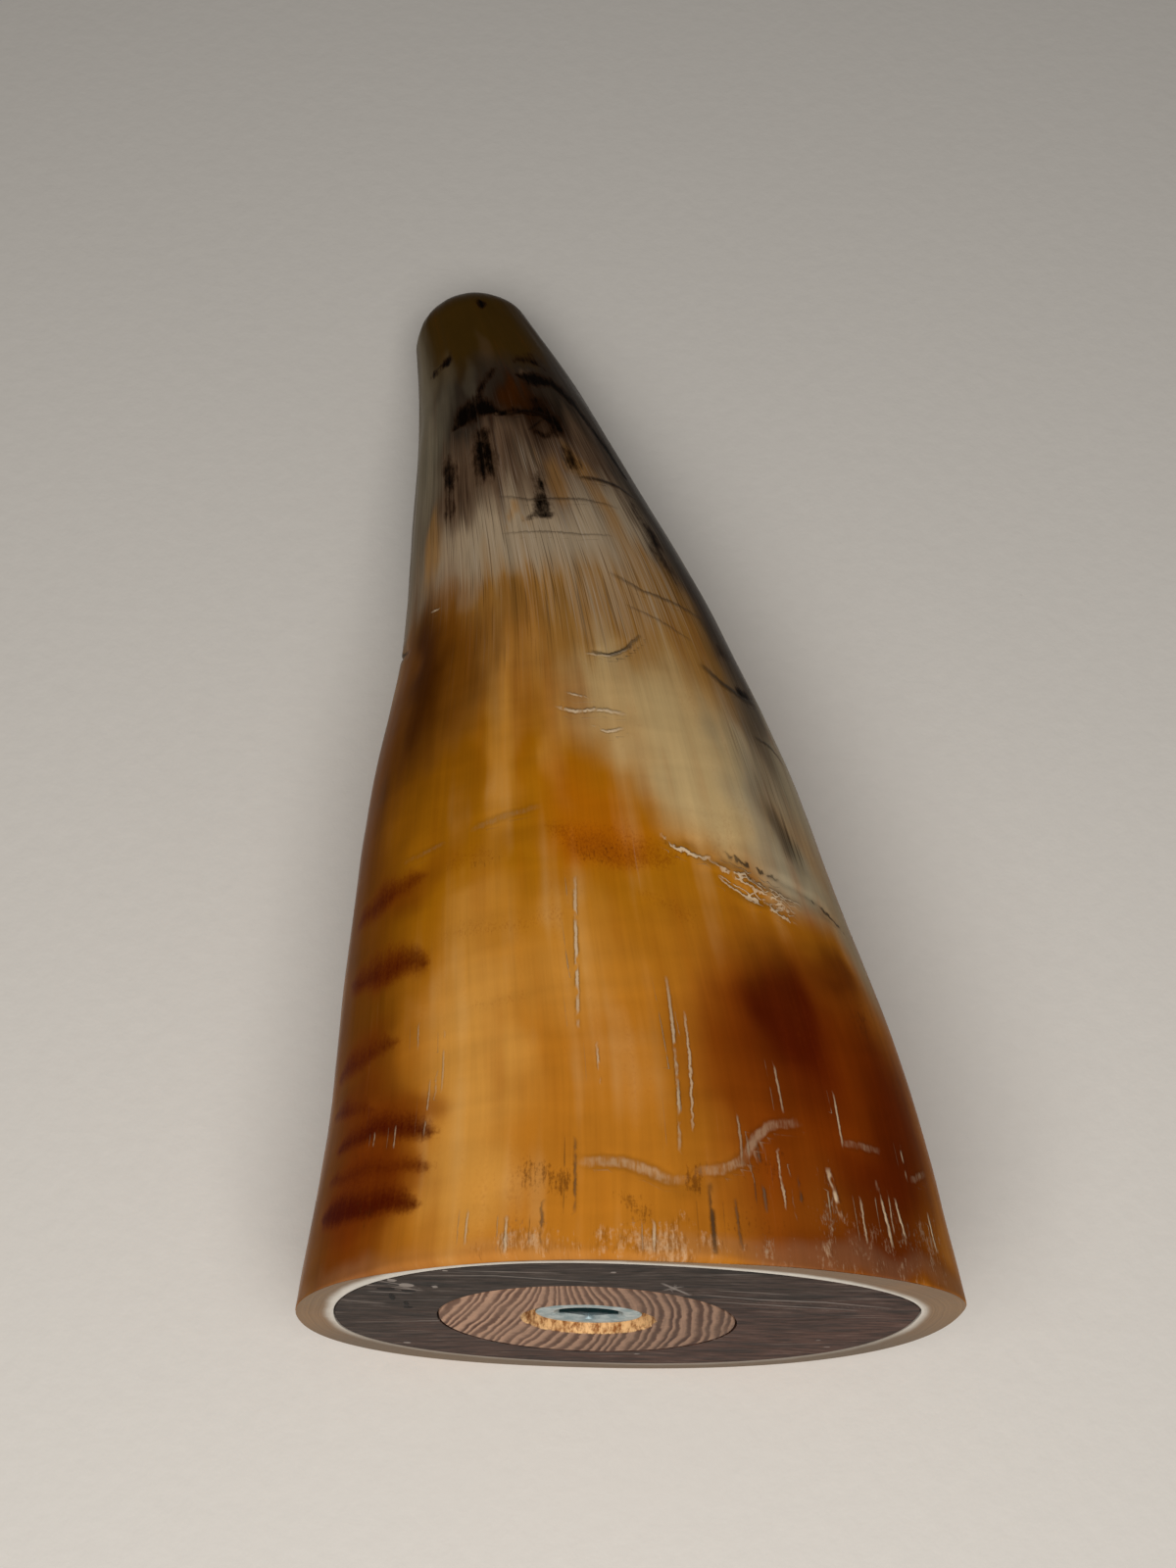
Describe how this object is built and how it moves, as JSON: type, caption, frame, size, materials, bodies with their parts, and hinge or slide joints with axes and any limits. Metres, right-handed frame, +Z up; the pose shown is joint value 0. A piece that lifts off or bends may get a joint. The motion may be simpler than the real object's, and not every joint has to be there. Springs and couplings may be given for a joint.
{
  "type": "buffalo horn",
  "caption": "Polished buffalo horn sawn square at the base, plugged with dark wood and a striped wood disc that holds a threaded steel insert.",
  "frame": {"origin": "on the ground, under the centre of the bounding box of the horn as it lies", "axes": "+Z up, +Y along the horn from its sawn base to its tip, +X to the right seen from the base, so that the tip curves towards -X"},
  "size_m": [0.1102, 0.2436, 0.0844],
  "materials": {
    "horn": "natural keratin polished to a gloss, streaked dark brown, cream and amber",
    "dark_wood": "dark stained wood, sawn and sanded, dry",
    "striped_wood": "softwood with close growth lines, sanded, unfinished",
    "plated_steel": "zinc-plated steel"
  },
  "bodies": {
    "root": {"horn": "horn", "base_plug": "dark_wood", "wood_disc": "striped_wood", "threaded_insert": "plated_steel"}
  },
  "joints": []
}
